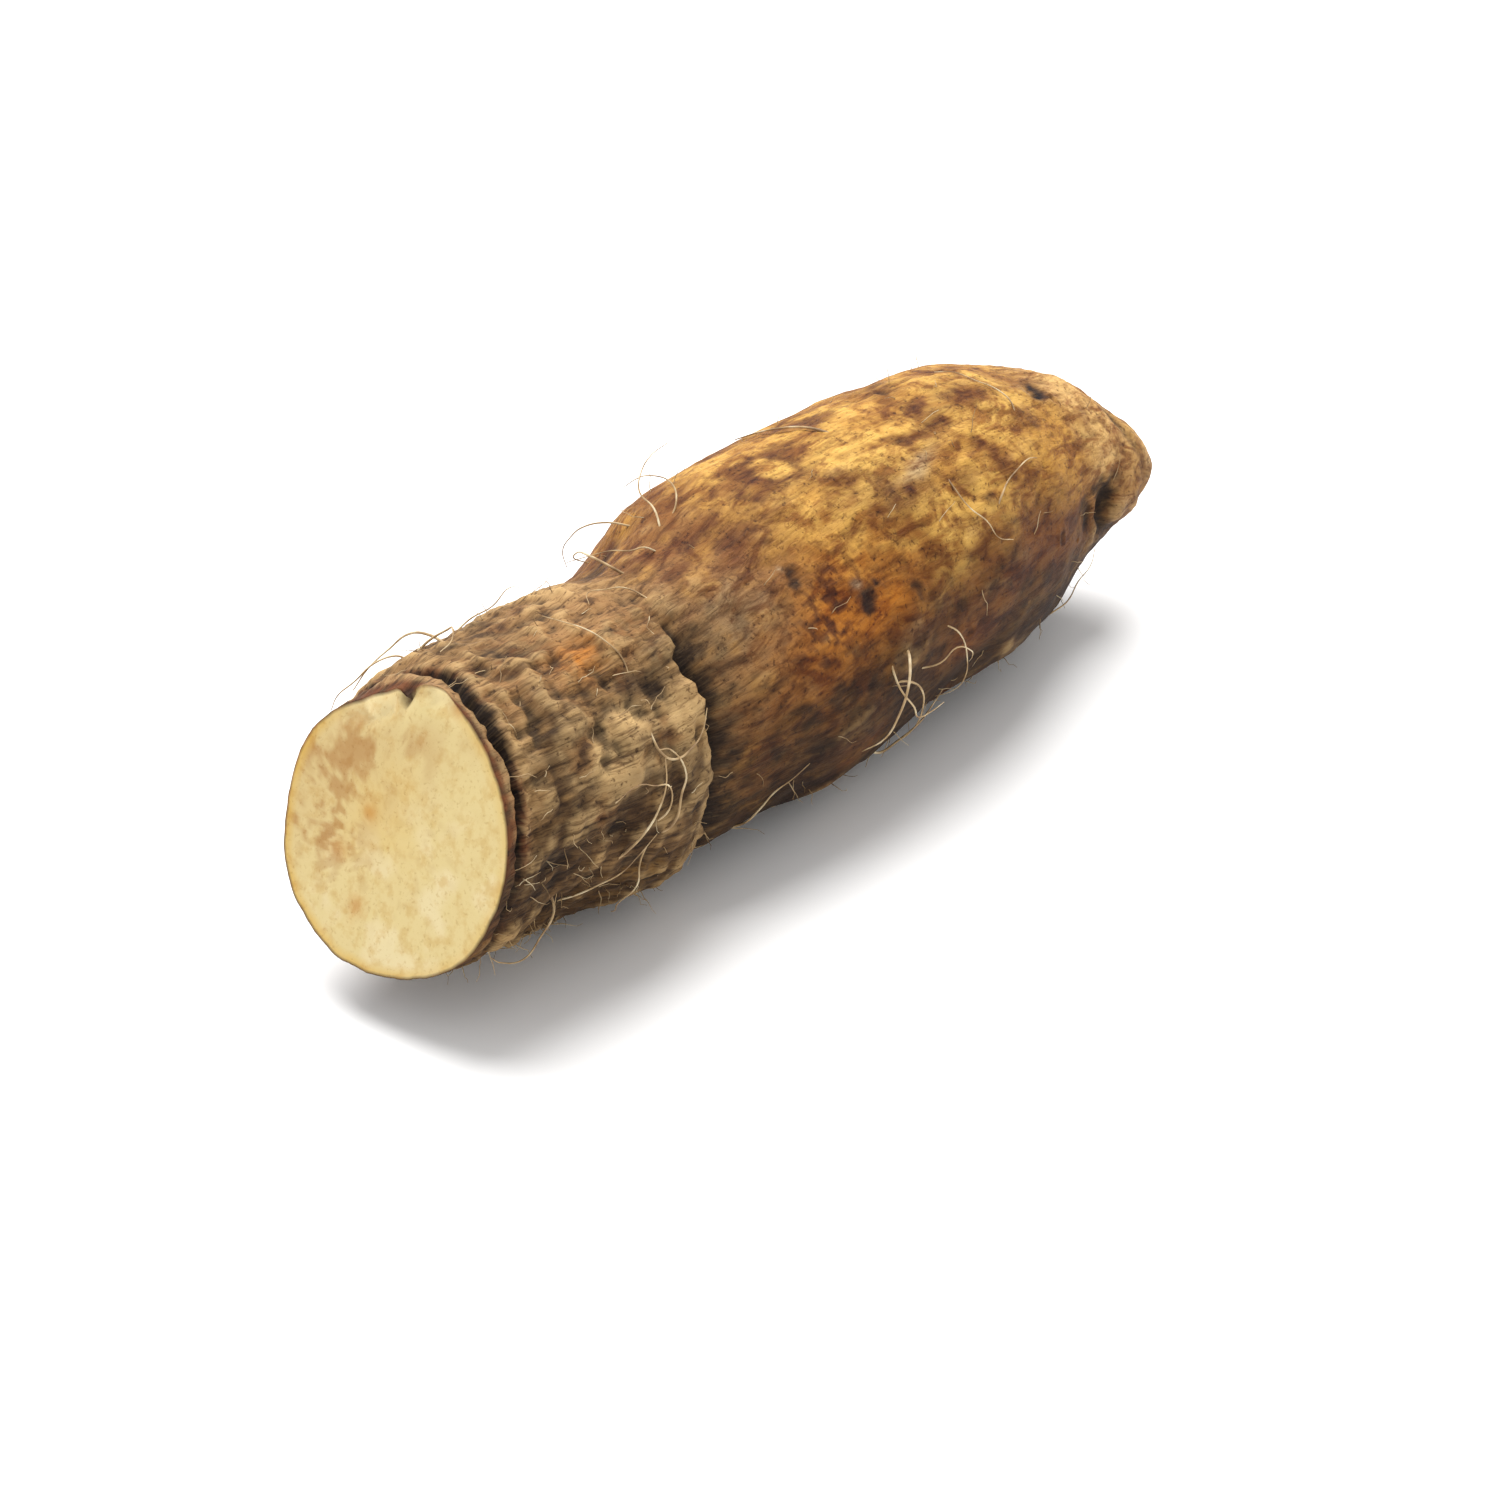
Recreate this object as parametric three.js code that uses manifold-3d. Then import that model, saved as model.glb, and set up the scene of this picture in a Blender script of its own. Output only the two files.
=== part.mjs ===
import * as THREE from "three";
import { mergeVertices } from "three/addons/utils/BufferGeometryUtils.js";
import Module from "manifold-3d";

// One whole yam tuber, cut straight through at its head end.
// Millimetres, +Z up, +X from the cut end to the tip.

// The neck thickens slowly from its radius at the cut. The belly is the round
// of an ellipse. The higher the sharpness, the shorter the change between them.
const neckRadius = 36;
const neckGrowth = 0.05;
const neckEnd = 100;
const bellyRadius = 47.5;
const bellyPlace = 170;
const bellyHalf = 145;
const sharpness = 30;

// The tuber lies on its belly between lieStart and lieEnd. It rises from the
// table by neckLift at the cut, more and more, and by tipLift at the tip.
const lieStart = 120;
const lieEnd = 200;
const neckLift = 12.5;
const neckRise = 1.2;
const tipLift = 20;
const bellySag = 0.5;

// The last stretch of the tuber swings sideways.
const swingStart = 230;
const tipSwing = 28;

// Where drawing starts, in the part that the knife takes off, where the tip
// starts to round off, and where it closes.
const headStart = -45;
const tipStart = 240;
const tipEnd = 297;

// The knife cut goes through the middle line at x = 0. It leans back from
// upright, and turns a little away from square.
const cutLean = 22;
const cutTurn = 3;

// The table presses this much off the lowest part of the belly.
const restFlat = 1.2;

// Low swells and hollows. turn is the angle in degrees from the top of the
// tuber, positive towards its front side.
const swells = [
  { x: 4, turn: 35, long: 8, wide: 30, height: -2.2 },
  { x: 0, turn: -110, long: 12, wide: 36, height: -1 },
  { x: 2, turn: -70, long: 10, wide: 24, height: 1.6 },
  { x: 0, turn: 80, long: 7, wide: 22, height: 1 },
  { x: 15, turn: 130, long: 14, wide: 45, height: -1.4 },
  { x: 30, turn: 120, long: 9, wide: 30, height: -1.6 },
  { x: 40, turn: 60, long: 12, wide: 26, height: 1.4 },
  { x: 50, turn: -30, long: 16, wide: 36, height: 1 },
  { x: 60, turn: 110, long: 14, wide: 42, height: 4.2 },
  { x: 85, turn: 20, long: 7, wide: 14, height: 1.2 },
  { x: 100, turn: -35, long: 16, wide: 42, height: -4 },
  { x: 105, turn: 110, long: 14, wide: 40, height: -1.2 },
  { x: 150, turn: -150, long: 30, wide: 40, height: 1.5 },
  { x: 200, turn: -95, long: 22, wide: 35, height: -2 },
  { x: 250, turn: 20, long: 10, wide: 30, height: -1.6 },
  { x: 265, turn: 85, long: 7, wide: 18, height: -5.5 },
  { x: 275, turn: 10, long: 12, wide: 50, height: 2.4 },
];

// Creases along the growth rings, where growth stopped and started again.
// Each is deepest at its turn, and spread says how far round it reaches.
const creases = [
  { ring: 8, turn: 40, spread: 80, depth: 2, width: 1.8 },
  { ring: 75, turn: 80, spread: 55, depth: 4.5, width: 3 },
  { ring: 285, turn: 65, spread: 75, depth: 2.4, width: 2.4 },
];

// How closely the skin is drawn, and how far from a crease it is drawn finely.
const facesAround = 44;
const wideStep = 5.5;
const fineStep = 1.3;
const fineReach = 12;

// Near the tip each step is this share of what is left, plus tipStep.
const tipShare = 0.24;
const tipStep = 0.3;

const radians = THREE.MathUtils.degToRad;

// How thick the plain round body is: the neck, giving way to the belly.
function radiusAt(x) {
  const passed = THREE.MathUtils.smoothstep(x, neckEnd, bellyPlace);
  const neck = (neckRadius + neckGrowth * x) * (1 - passed);
  const out = (x - bellyPlace) / bellyHalf;
  const belly = bellyRadius * Math.sqrt(Math.max(1 - out * out, 0));
  return (neck ** sharpness + belly ** sharpness) ** (1 / sharpness);
}

// Growth rings lie along the knife cut at the head, and stand up straight
// where the tip starts to round off.
function leanAt(x) {
  const left = THREE.MathUtils.clamp(1 - x / tipStart, 0, 1);
  return neckRadius * Math.tan(radians(cutLean)) * left ** 2;
}

// 1 at the middle of a feature, fading to 0 around it.
function fade(distance, width) {
  return Math.exp(-((distance / width) ** 2));
}

// The shortest way round from one turn to another, in degrees.
function turnBetween(a, b) {
  return THREE.MathUtils.euclideanModulo(a - b + 180, 360) - 180;
}

// Slow waves, so that the body is nowhere quite round.
function waviness(x, t) {
  return (
    0.8 * Math.sin(x / 17 + 2.2 * Math.sin(t + 0.6)) +
    0.7 * Math.sin(2 * t + x / 31) +
    0.5 * Math.sin(3 * t - x / 12 + 1) +
    0.4 * Math.sin(5 * t + x / 9) * Math.sin(x / 23 - t)
  );
}

// How far the skin stands in or out of the plain round body.
function relief(ring, x, turn) {
  let height = waviness(x, radians(turn));
  for (const swell of swells) {
    const around = fade(turnBetween(turn, swell.turn), swell.wide);
    height += swell.height * fade(x - swell.x, swell.long) * around;
  }
  for (const crease of creases) {
    const around = fade(turnBetween(turn, crease.turn), crease.spread);
    height -= crease.depth * fade(ring - crease.ring, crease.width) * around;
  }
  return height;
}

function middleAt(x) {
  const before = Math.max(lieStart - x, 0) / lieStart;
  const after = Math.max(x - lieEnd, 0) / (tipEnd - lieEnd);
  const swung = Math.max(x - swingStart, 0) / (tipEnd - swingStart);
  const lift = neckLift * before ** neckRise + tipLift * after ** 2 - bellySag;
  return new THREE.Vector3(x, -tipSwing * swung ** 2, radiusAt(x) + lift);
}

// A point of the skin, on one growth ring at one turn from the top.
function skinPoint(ring, turn) {
  const t = radians(turn);
  const x = Math.min(ring + leanAt(ring) * Math.cos(t), tipEnd);
  const ahead = middleAt(x + 1).sub(middleAt(x - 1)).normalize();
  const front = new THREE.Vector3(0, 0, 1).cross(ahead).normalize().negate();
  const up = new THREE.Vector3().crossVectors(front, ahead).normalize();
  const rounded = Math.max(x - tipStart, 0) / (tipEnd - tipStart);
  const closing = Math.sqrt(1 - rounded * rounded);
  const reach = (radiusAt(x) + relief(ring, x, turn)) * closing;
  return middleAt(x)
    .addScaledVector(up, reach * Math.cos(t))
    .addScaledVector(front, reach * Math.sin(t));
}

// Growth rings to draw: closer together at the creases and towards the tip.
function drawnRings() {
  const rings = [];
  let ring = headStart;
  while (ring < tipEnd - tipStep) {
    rings.push(ring);
    const gaps = creases.map((crease) => Math.abs(ring - crease.ring));
    const clear = Math.min(Math.min(...gaps) / fineReach, 1);
    const step = THREE.MathUtils.lerp(fineStep, wideStep, clear);
    ring += Math.min(step, tipStep + (tipEnd - ring) * tipShare);
  }
  return rings;
}

// The whole tuber before the cut, as one closed surface.
function tuberGeometry() {
  const rings = drawnRings();
  const places = [];
  for (const ring of rings) {
    for (let i = 0; i < facesAround; i += 1) {
      places.push(...skinPoint(ring, (i * 360) / facesAround).toArray());
    }
  }
  const headPole = rings.length * facesAround;
  const tipPole = headPole + 1;
  places.push(...middleAt(rings[0]).toArray());
  places.push(...middleAt(tipEnd).toArray());

  const faces = [];
  const lastRing = (rings.length - 1) * facesAround;
  for (let i = 0; i < facesAround; i += 1) {
    const next = (i + 1) % facesAround;
    faces.push(headPole, next, i);
    faces.push(tipPole, lastRing + i, lastRing + next);
    for (let near = 0; near < lastRing; near += facesAround) {
      const far = near + facesAround;
      faces.push(near + i, far + next, far + i);
      faces.push(near + i, near + next, far + next);
    }
  }
  const geometry = new THREE.BufferGeometry();
  geometry.setAttribute("position", new THREE.Float32BufferAttribute(places, 3));
  geometry.setIndex(faces);
  return geometry;
}

const library = await Module();
library.setup();

function solidFrom(geometry) {
  const bare = geometry.clone();
  bare.deleteAttribute("normal");
  bare.deleteAttribute("uv");
  const merged = mergeVertices(bare, 1e-4);
  return new library.Manifold(
    new library.Mesh({
      numProp: 3,
      vertProperties: merged.attributes.position.array,
      triVerts: new Uint32Array(merged.index.array),
    }),
  );
}

function geometryFrom(solid) {
  const mesh = solid.getMesh();
  const geometry = new THREE.BufferGeometry();
  geometry.setAttribute("position", new THREE.BufferAttribute(mesh.vertProperties, 3));
  geometry.setIndex(new THREE.BufferAttribute(mesh.triVerts, 1));
  return geometry;
}

// The block of space that the knife takes off the head end.
function knifeBlock() {
  const long = 120;
  const block = new THREE.BoxGeometry(long, 200, 200);
  block.translate(-long / 2, 0, 0);
  block.rotateY(radians(cutLean));
  block.rotateZ(radians(cutTurn));
  const middle = middleAt(0);
  block.translate(middle.x, middle.y, middle.z);
  return block;
}

// The table top, which presses a narrow flat on the belly.
function tableBlock() {
  const thick = 60;
  const block = new THREE.BoxGeometry(600, 300, thick);
  block.translate(tipEnd / 2, 0, restFlat - thick / 2);
  return block;
}

// The part's origin is under the middle of its box, on the table.
function placed(geometry) {
  geometry.computeBoundingBox();
  const lowest = geometry.boundingBox.min.z;
  const middle = geometry.boundingBox.getCenter(new THREE.Vector3());
  geometry.translate(-middle.x, -middle.y, -lowest);
  geometry.computeVertexNormals();
  return geometry;
}

const tuber = solidFrom(tuberGeometry())
  .subtract(solidFrom(knifeBlock()))
  .subtract(solidFrom(tableBlock()));

const driedSkin = new THREE.MeshStandardMaterial({
  color: 0xa67c48,
  roughness: 0.85,
  metalness: 0,
  flatShading: true,
});

const yam = new THREE.Mesh(placed(geometryFrom(tuber)), driedSkin);
yam.name = "yam";

const model = new THREE.Group();
model.add(yam);

export default model;
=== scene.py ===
import math

import bpy
import numpy as np
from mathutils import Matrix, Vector, noise
from mathutils.bvhtree import BVHTree


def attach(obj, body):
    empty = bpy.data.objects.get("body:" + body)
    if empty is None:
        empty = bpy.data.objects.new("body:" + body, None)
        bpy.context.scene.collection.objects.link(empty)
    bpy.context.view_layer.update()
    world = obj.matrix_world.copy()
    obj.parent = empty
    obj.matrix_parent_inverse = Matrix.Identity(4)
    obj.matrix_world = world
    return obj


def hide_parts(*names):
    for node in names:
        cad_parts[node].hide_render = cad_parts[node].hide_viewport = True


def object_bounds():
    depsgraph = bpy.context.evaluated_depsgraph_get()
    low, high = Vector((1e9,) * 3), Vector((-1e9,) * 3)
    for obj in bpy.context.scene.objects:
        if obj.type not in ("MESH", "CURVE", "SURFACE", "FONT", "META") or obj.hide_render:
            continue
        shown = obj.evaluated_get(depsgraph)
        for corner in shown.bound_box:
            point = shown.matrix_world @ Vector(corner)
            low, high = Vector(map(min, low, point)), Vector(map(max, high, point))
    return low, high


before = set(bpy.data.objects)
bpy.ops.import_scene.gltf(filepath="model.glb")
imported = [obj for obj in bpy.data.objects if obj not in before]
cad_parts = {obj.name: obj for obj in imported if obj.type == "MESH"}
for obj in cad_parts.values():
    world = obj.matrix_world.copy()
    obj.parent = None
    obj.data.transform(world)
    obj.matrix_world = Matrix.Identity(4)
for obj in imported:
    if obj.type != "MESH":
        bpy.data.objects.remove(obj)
cadLow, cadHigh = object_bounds()
cadSize = cadHigh - cadLow
cadMiddle = (cadLow + cadHigh) / 2
yamLength = cadSize.x
mm = 0.001
print("frame loaded: yam %.0f mm long" % (yamLength / mm))


# Small tools

def fromHex(code, alpha=1.0):
    channels = [int(code[i:i + 2], 16) / 255 for i in (1, 3, 5)]
    linear = [c / 12.92 if c <= 0.04045 else ((c + 0.055) / 1.055) ** 2.4 for c in channels]
    return (*linear, alpha)


def addNode(tree, kind, settings=None, inputs=None):
    node = tree.nodes.new(kind)
    for name, value in (settings or {}).items():
        if name == "stops":  # a colour ramp's stops, as (place, hex colour)
            while len(node.color_ramp.elements) < len(value):
                node.color_ramp.elements.new(1.0)
            for element, (place, code) in zip(node.color_ramp.elements, value):
                element.position = place
                element.color = fromHex(code)
        else:
            setattr(node, name, value)
    for name, value in (inputs or {}).items():
        if isinstance(value, bpy.types.NodeSocket):
            tree.links.new(value, node.inputs[name])
        else:
            node.inputs[name].default_value = value
    return node


def fade(distance, width):
    return np.exp(-(distance / width) ** 2)


def rise(low, high, value):
    t = np.clip((value - low) / (high - low), 0, 1)
    return t * t * (3 - 2 * t)


def turnFrom(turn, centre):  # shortest way round, in degrees
    return (turn - centre + 180) % 360 - 180


def unit(vectors):
    return vectors / np.linalg.norm(vectors, axis=-1, keepdims=True)


# Camera, floor and light

studio = {
    "azimuth": -50,  # degrees, from straight in front
    "elevation": 33,
    "lens": 70,
    "distance": 2.6,  # in yam lengths
    "aim": (-0.055, -0.035, -0.1),  # in yam lengths from the middle of the box
    "floorSize": 40,
    "floorColour": "#f7f6f5",
    "skyStrength": 0.76,
    "keyStrength": 4.5,  # watts for each square metre
    "keySpread": 50,  # degrees
    "keyPlace": (-0.14, 0.60, 1.10),  # right, away and up as the camera sees it
}


def makeStudio():
    azimuth = math.radians(studio["azimuth"])
    elevation = math.radians(studio["elevation"])
    right = Vector((math.cos(azimuth), math.sin(azimuth), 0))
    away = Vector((-math.sin(azimuth), math.cos(azimuth), 0))
    up = Vector((0, 0, 1))
    towards = up * math.sin(elevation) - away * math.cos(elevation)
    aim = cadMiddle + Vector(studio["aim"]) * yamLength

    lens = bpy.data.cameras.new("studioCamera")
    lens.lens = studio["lens"]
    lens.sensor_width = 36
    lens.clip_end = 100
    camera = bpy.data.objects.new("studioCamera", lens)
    camera.location = aim + towards * studio["distance"] * yamLength
    camera.rotation_euler = towards.to_track_quat("Z", "Y").to_euler()
    bpy.context.scene.collection.objects.link(camera)
    bpy.context.scene.camera = camera

    paper = bpy.data.materials.new("matteWhitePaper")  # rough and even, so the shadow stays soft
    paper.use_nodes = True
    shader = paper.node_tree.nodes["Principled BSDF"]
    shader.inputs["Base Color"].default_value = fromHex(studio["floorColour"])
    shader.inputs["Roughness"].default_value = 0.9
    shader.inputs["Specular IOR Level"].default_value = 0.1
    half = studio["floorSize"] / 2
    corners = [(-half, -half, 0), (half, -half, 0), (half, half, 0), (-half, half, 0)]
    sheet = bpy.data.meshes.new("floor")
    sheet.from_pydata(corners, [], [(0, 1, 2, 3)])
    sheet.materials.append(paper)
    floor = bpy.data.objects.new("floor", sheet)
    bpy.context.scene.collection.objects.link(floor)

    world = bpy.data.worlds.new("softRoom")
    bpy.context.scene.world = world
    world.use_nodes = True
    world.node_tree.nodes["Background"].inputs["Color"].default_value = (1, 1, 1, 1)
    world.node_tree.nodes["Background"].inputs["Strength"].default_value = studio["skyStrength"]

    lamp = bpy.data.lights.new("softKey", "SUN")
    lamp.angle = math.radians(studio["keySpread"])
    lamp.energy = studio["keyStrength"]
    x, y, z = studio["keyPlace"]
    key = bpy.data.objects.new("softKey", lamp)
    key.location = right * x + away * y + up * z
    key.rotation_euler = key.location.to_track_quat("Z", "Y").to_euler()
    bpy.context.scene.collection.objects.link(key)
    bpy.context.scene.view_settings.view_transform = "Standard"
    return floor


makeStudio()
print("studio made")


# The body: rings of points around a middle line, cast onto the CAD solid

body = {
    "rings": 372,
    "capRings": 74,
    "turns": 210,
    "faceRings": 26,
    "capLength": 42 * mm,  # the tip is a fan of rays from this far inside it
    "leanFade": 95 * mm,  # growth rings stand up straight again over this length
    "smoothing": 2.4 * mm,  # rubs out the facets of the solid
}
plainRadius = 40  # mm, the round body that patterns are wrapped on


def smoothGrid(grid, alongSigma, aroundSigma):
    def kernel(sigma):
        reach = int(3 * sigma) + 1
        steps = np.arange(-reach, reach + 1)
        weights = np.exp(-0.5 * (steps / sigma) ** 2)
        return reach, weights / weights.sum()

    reach, weights = kernel(alongSigma)
    padded = np.pad(grid, ((reach, reach), (0, 0)), mode="reflect", reflect_type="odd")
    grid = sum(w * padded[i:i + grid.shape[0]] for i, w in enumerate(weights))
    reach, weights = kernel(aroundSigma)
    padded = np.pad(grid, ((0, 0), (reach, reach)), mode="wrap")
    return sum(w * padded[:, i:i + grid.shape[1]] for i, w in enumerate(weights))


def middleOf(points):
    ends = points[:, 0].min(), points[:, 0].max()
    window = 9 * mm
    xs = np.linspace(ends[0] + 34 * mm, ends[1] - 6 * mm, 60)
    middles = []
    for x in xs:
        near = points[abs(points[:, 0] - x) < window]
        middles.append((near.min(0) + near.max(0)) / 2)
    middles = np.array(middles)
    yCurve = np.polynomial.Polynomial.fit(xs, middles[:, 1], 7)
    zCurve = np.polynomial.Polynomial.fit(xs, middles[:, 2], 7)
    first, last = xs[0], xs[-1]

    def curve(x):  # straight on past both ends
        inside = np.clip(x, first, last)
        y = yCurve(inside) + yCurve.deriv()(inside) * (x - inside)
        z = zCurve(inside) + zCurve.deriv()(inside) * (x - inside)
        return np.stack([x, y, z], -1)

    return curve


def castBody():
    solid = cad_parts["yam"].data
    points = np.array([v.co for v in solid.vertices])
    triangles = [tuple(p.vertices) for p in solid.polygons]
    tree = BVHTree.FromPolygons([tuple(p) for p in points], triangles)

    # the knife cut is the big flat face that looks back along the tuber
    centres = np.array([p.center for p in solid.polygons])
    normals = np.array([p.normal for p in solid.polygons])
    areas = np.array([p.area for p in solid.polygons])
    headward = (normals[:, 0] < -0.85) & (centres[:, 0] < cadLow.x + 0.12 * yamLength)
    cutNormal = unit((normals[headward] * areas[headward, None]).sum(0))
    flat = headward & (normals @ cutNormal > 0.9999)
    cutPlace = (centres[flat] * areas[flat, None]).sum(0) / areas[flat].sum()

    curve = middleOf(points)
    start = cutPlace[0]
    for _ in range(20):  # where the middle line meets the cut
        start += ((cutPlace - curve(start)) @ cutNormal) / cutNormal[0]
    start += 0.05 * mm
    end = cadHigh.x - body["capLength"]

    turns = np.linspace(0, 360, body["turns"], endpoint=False)
    t = np.radians(turns)
    xs = np.linspace(start, end, body["rings"])
    origins, directions, alongs, girths = [], [], [], []
    for x in xs:
        ahead = unit(curve(x + mm) - curve(x - mm))
        weight = math.exp(-(x - start) / body["leanFade"])
        facing = unit(ahead * (1 - weight) - cutNormal * weight)
        front = unit(np.cross(facing, (0, 0, 1)))
        up = np.cross(front, facing)
        directions.append(np.outer(np.cos(t), up) + np.outer(np.sin(t), front))
        origins.append(curve(x))
        alongs.append(x - start)
        girths.append(1)
    step = (math.pi / 2) / (body["capRings"] + 0.6)
    for i in range(1, body["capRings"] + 1):
        swing = i * step
        around = np.outer(np.cos(t), up) + np.outer(np.sin(t), front)
        directions.append(around * math.cos(swing) + facing * math.sin(swing))
        origins.append(curve(end))
        alongs.append(end - start + body["capLength"] * math.sin(swing))
        girths.append(math.cos(swing))
    origins = np.array(origins)
    directions = np.array(directions)
    reach = np.zeros(directions.shape[:2])
    for i in range(len(origins)):
        origin = Vector(origins[i])
        for j in range(len(turns)):
            hit = tree.ray_cast(origin, Vector(directions[i, j]))
            reach[i, j] = hit[3] if hit[0] is not None else reach[i, j - 1]
    ringGap = (end - start) / body["rings"]
    turnGap = 2 * math.pi * plainRadius * mm / body["turns"]
    reach = smoothGrid(reach, body["smoothing"] / ringGap, body["smoothing"] / turnGap)
    return origins, directions, reach, np.array(alongs) / mm, np.array(girths), turns, cutNormal


origins, directions, reach, alongs, girths, turns, cutNormal = castBody()
along, turn = np.meshgrid(alongs, turns, indexing="ij")  # mm from the cut, degrees from the top
t = np.radians(turn)
girth = girths[:, None] * np.ones_like(turn)  # 1 on the body, down to 0 where the tip closes
print("body cast:", reach.shape)


# Skin relief: creases and landmarks placed one by one, and folds, knobs, swells and pits strewn by rule

relief = {
    "crackDepth": 5.5, "crackWidth": 1.4,
    "lipHeight": 3.2, "lipReach": 10.0, "creaseDepth": 3.8, "creaseReach": 9.5,
    "seed": 11, "pitCount": 70,
    "foldCount": 26, "foldHeight": 1.3,  # folds across the neck
    "knobCount": 16, "knobHeight": 1.3,  # knobs and dents on the neck
    "swellCount": 22, "swellHeight": 1.0,  # low swells anywhere
}

# What stands out most: along, turn, length, width and height. The turn is in degrees from
# the top, and the rest in mm.
landmarks = [
    (30, 60, 12, 12, 1.8),  # the neck is fullest at its front
    (50, 60, 6, 6, 1.6),  # a knob on it
    (90, 45, 10, 14, -1.0),  # the waist behind the crease
    (265, 90, 6, 9, -4.6),  # the hollow below the tip
    (280, 95, 8, 11, 2.6),  # the nose beside it
]

# The large wounds: along in mm, turn in degrees, radius in mm, how dark
wounds = [(140, 60, 2.6, 0.95), (120, 40, 2.6, 0.85), (250, 20, 3.8, 1.0)]

smallWounds = {"seed": 23, "count": 24, "smallest": 0.9, "largest": 2.0}


def scatterWounds():
    rng = np.random.default_rng(smallWounds["seed"])
    size = smallWounds["smallest"], smallWounds["largest"]
    return [(rng.uniform(25, 270), rng.uniform(-180, 180), rng.uniform(*size), rng.uniform(0.5, 0.75))
            for _ in range(smallWounds["count"])]


spots = wounds + scatterWounds()


def noiseGrid(longScale, roundScale, seed, octaves=3):
    # noise that joins up around the tuber; scales are sizes in mm
    places = np.stack([
        along / longScale,
        plainRadius * girth * np.cos(t) / roundScale + seed * 7.3,
        plainRadius * girth * np.sin(t) / roundScale - seed * 3.1,
    ], -1).reshape(-1, 3)
    values = [noise.fractal(p, 1.0, 2.0, octaves) for p in places.tolist()]
    return np.array(values).reshape(along.shape)


def awayFrom(centreTurn):
    # degrees to a turn from the top; all turns are alike where the tip closes
    return np.degrees(np.arccos(girth * np.cos(np.radians(turn - centreTurn))))


strayLength = 3.0 * noiseGrid(14, 9, 21, 2)  # mm; keeps placed features from looking stamped
strayRound = 3.0 * noiseGrid(14, 9, 22, 2)


def gapTo(place, centreTurn):
    # distances in mm from a place on the skin, along and around
    around = np.radians(turnFrom(turn, centreTurn)) * np.maximum(girth * reach / mm, 3)
    return along - place + strayLength, around + strayRound


def skinRelief():
    wander = noiseGrid(30, 12, 1, 2)
    ragged = noiseGrid(5, 3, 12, 3)
    broken = noiseGrid(14, 9, 13, 2)
    crackLine = 6 + 4.2 * fade(awayFrom(-4), 24) + 1.1 * wander + 0.7 * ragged
    crackReach = 0.1 + 0.9 * fade(awayFrom(30), 58)
    crackWidth = relief["crackWidth"] * (0.7 + 1.0 * fade(awayFrom(18), 28))
    crack = fade(along - crackLine, crackWidth) * crackReach

    creaseLine = 75 + 1.8 * fade(awayFrom(28), 14) - 1.5 * fade(awayFrom(70), 25)
    past = along - creaseLine - 2.2 * wander - 0.6 * ragged - 2.2 * broken
    creaseReach = rise(2, 58, turn) * rise(172, 118, turn)
    dropped = rise(-1.4, 1.1, past)
    lip = (1 - dropped) * fade(past, relief["lipReach"]) * creaseReach * (0.9 + 0.8 * broken)
    crease = dropped * np.exp(-np.maximum(past, 0) / relief["creaseReach"]) * creaseReach
    nose = fade(along - 285, 1.9) * fade(awayFrom(65), 60)

    height = -relief["crackDepth"] * crack - relief["creaseDepth"] * crease
    height += relief["lipHeight"] * lip - 1.0 * nose
    height += 0.8 * fade(along - crackLine - 3.2, 1.8) * crackReach * (0.6 + ragged)
    swerve = 6.0 * noiseGrid(16, 11, 31, 2)
    rng = np.random.default_rng(relief["seed"])
    lumps = list(landmarks)
    for count, size, lowest, highest, long, wide in (
            (relief["foldCount"], relief["foldHeight"], 14, 70, 3.4, 15),
            (relief["knobCount"], relief["knobHeight"], 14, 84, 5, 6),
            (relief["swellCount"], relief["swellHeight"], 90, 260, 10, 9)):
        for _ in range(count):
            tall = size * rng.choice([-1, 1]) * rng.uniform(0.6, 1.2)
            share = rng.uniform(0.7, 1.3)
            where = rng.uniform(lowest, highest), rng.uniform(-180, 180)
            lumps.append((*where, long * share, wide * share, tall))
    for place, centreTurn, long, wide, tall in lumps:
        x, y = gapTo(place, centreTurn)
        height += tall * fade(x + swerve, long) * fade(y, wide)
    for place, centreTurn, radius, dark in spots:
        x, y = gapTo(place, centreTurn)
        far = np.hypot(x / 1.25, y)
        height += -0.7 * fade(far, radius * 0.7) + 0.3 * fade(far - radius * 1.35, 0.7)

    for _ in range(relief["pitCount"]):
        x, y = gapTo(rng.uniform(12, 275), rng.uniform(0, 360))
        size = rng.uniform(0.9, 2.0)
        height += rng.choice([-0.5, -0.35, 0.35]) * fade(np.hypot(x / 1.3, y), size)

    rings = noiseGrid(4.5, 26, 2, 2)  # faint wrinkles across the neck
    neck = rise(88, 60, along)
    calm = 0.25 + 0.75 * rise(0, 9, along)  # the rim of the cut stays fairly even
    height += 0.9 * neck * rings * calm
    height += (0.85 + 0.9 * neck) * calm * noiseGrid(26, 17, 3, 3)
    height += (0.35 + 0.6 * neck) * calm * noiseGrid(9, 4.5, 4, 3)

    # the flesh broke at the top of the cut: a chunk stands up beside a notch and a chipped edge
    edge = fade(along, 3.0)
    height += edge * (1.7 * fade(awayFrom(10), 9) - 1.3 * fade(awayFrom(-20), 14))
    height -= edge * 2.6 * fade(awayFrom(-3.5), 2.8)
    return height, crack, crease, nose


height, crack, crease, nose = skinRelief()
reach = reach + height * mm
skin = origins[:, None, :] + directions * reach[..., None]
print("relief made")


# Skin tones, mixed by place: old bark at the neck, gold on the belly's top, painted shade underneath

tones = {
    "base": "#895d30", "neck": "#856640", "neckDark": "#493420", "neckPale": "#cba873",
    "bark": "#68391f", "gold": "#ba873b", "paleGold": "#d6a955", "brown": "#78461b",
    "rust": "#5c2b0c", "rustPale": "#ba711f", "grey": "#8c6e4b", "paintedUnderShade": "#26180f",
    "soilAndShade": "#21160f", "wound": "#1e1517", "lobe": "#d8ae6e",
    "scar": "#b5a283", "paintedFlankShade": "#3c2610",
}
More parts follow.
